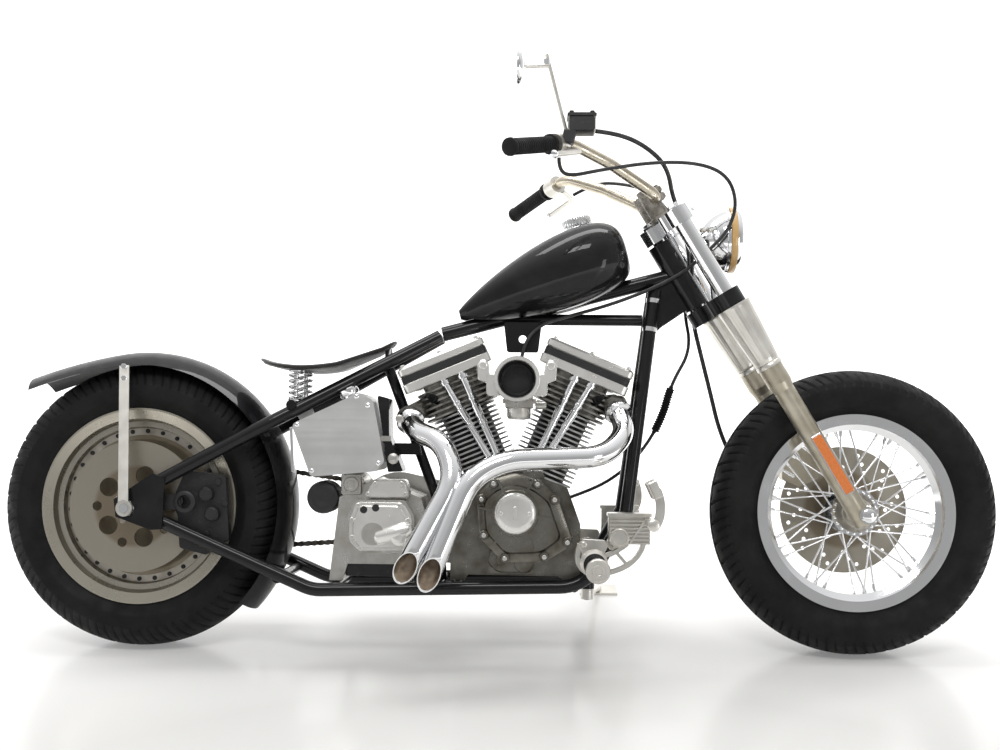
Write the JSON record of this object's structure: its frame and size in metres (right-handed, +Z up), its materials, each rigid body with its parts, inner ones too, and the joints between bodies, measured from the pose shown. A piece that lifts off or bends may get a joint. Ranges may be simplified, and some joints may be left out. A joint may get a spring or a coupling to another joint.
{
  "type": "chopper motorcycle",
  "caption": "Rigid-frame chopper motorcycle with an air-cooled V-twin engine, raked fork, fat tyres and solo seat, leaning on its side stand.",
  "frame": {"origin": "on the floor, midway between the axles and midway across the leaned machine's width", "axes": "+X forward, +Y to the machine's left, +Z up; the machine leans 13 degrees to +Y onto its side stand"},
  "size_m": [2.2499, 0.8994, 1.3282],
  "materials": {
    "tyre": "matte black rubber",
    "gloss_black": "gloss black paint",
    "chrome": "bright chrome",
    "polished_aluminium": "polished",
    "cast_aluminium": "as cast",
    "brushed_steel": "brushed",
    "black_alloy": "satin black",
    "nickel": "warm nickel",
    "rubber": "matte",
    "leather": "smooth black hide"
  },
  "bodies": {
    "chassis": {"drive_chain": "brushed_steel", "frame_backbone": "gloss_black", "frame_upper_stays": "gloss_black", "frame_down_tubes": "gloss_black", "frame_cradle_rails": "gloss_black", "frame_cross_members": "gloss_black", "rear_axle": "brushed_steel", "cylinder_barrels": "black_alloy", "cylinder_heads": "polished_aluminium", "rocker_boxes": "polished_aluminium", "crankcase": "cast_aluminium", "cam_cover": "cast_aluminium", "pushrod_tubes": "chrome", "carburettor": "black_alloy", "exhaust_pipes": "chrome", "gearbox": "cast_aluminium", "primary_case": "polished_aluminium", "oil_filter": "black_alloy", "fuel_tank": "gloss_black", "seat": "leather", "rear_fender": "gloss_black", "seat_springs": "chrome", "oil_tank": "polished_aluminium", "battery_box": "gloss_black", "fender_struts": "chrome", "rear_brake_caliper": "black_alloy", "foot_controls": "cast_aluminium", "throttle_cable": "rubber", "clutch_cable": "rubber"},
    "steering": {"fork_tubes": "chrome", "fork_sliders": "cast_aluminium", "fork_shrouds": "cast_aluminium", "fork_top_clamp": "chrome", "fork_lower_clamp": "black_alloy", "front_axle": "brushed_steel", "front_brake_caliper": "black_alloy", "handlebar": "nickel", "handlebar_risers": "cast_aluminium", "grips": "rubber", "hand_controls": "chrome", "headlamp": "chrome", "front_brake_hose": "rubber"},
    "front_wheel": {"front_tyre": "tyre", "front_wheel_laced": "chrome", "front_brake_disc": "brushed_steel"},
    "rear_wheel": {"rear_tyre": "tyre", "rear_wheel_disc": "polished_aluminium", "rear_brake_disc": "brushed_steel", "rear_sprocket": "brushed_steel"},
    "side_stand": {"side_stand": "brushed_steel"}
  },
  "joints": [
    {"name": "steering", "type": "hinge", "parent": "chassis", "child": "steering", "pos_m": [0.41073, 0.02195, 0.83781], "axis": [-0.515, 0.1928, 0.8352], "range_deg": [-30, 30], "deforming": ["throttle_cable", "clutch_cable"]},
    {"name": "front_wheel_spin", "type": "hinge", "parent": "steering", "child": "front_wheel", "pos_m": [0.805, -0.09902, 0.31385], "axis": [0, 0.9744, -0.225], "continuous": true},
    {"name": "rear_wheel_spin", "type": "hinge", "parent": "chassis", "child": "rear_wheel", "pos_m": [-0.805, -0.09902, 0.31385], "axis": [0, 0.9744, -0.225], "continuous": true},
    {"name": "side_stand_fold", "type": "hinge", "parent": "chassis", "child": "side_stand", "pos_m": [0.214, -0.02693, 0.08374], "axis": [0, 0.225, 0.9744], "range_deg": [0, 82]}
  ]
}
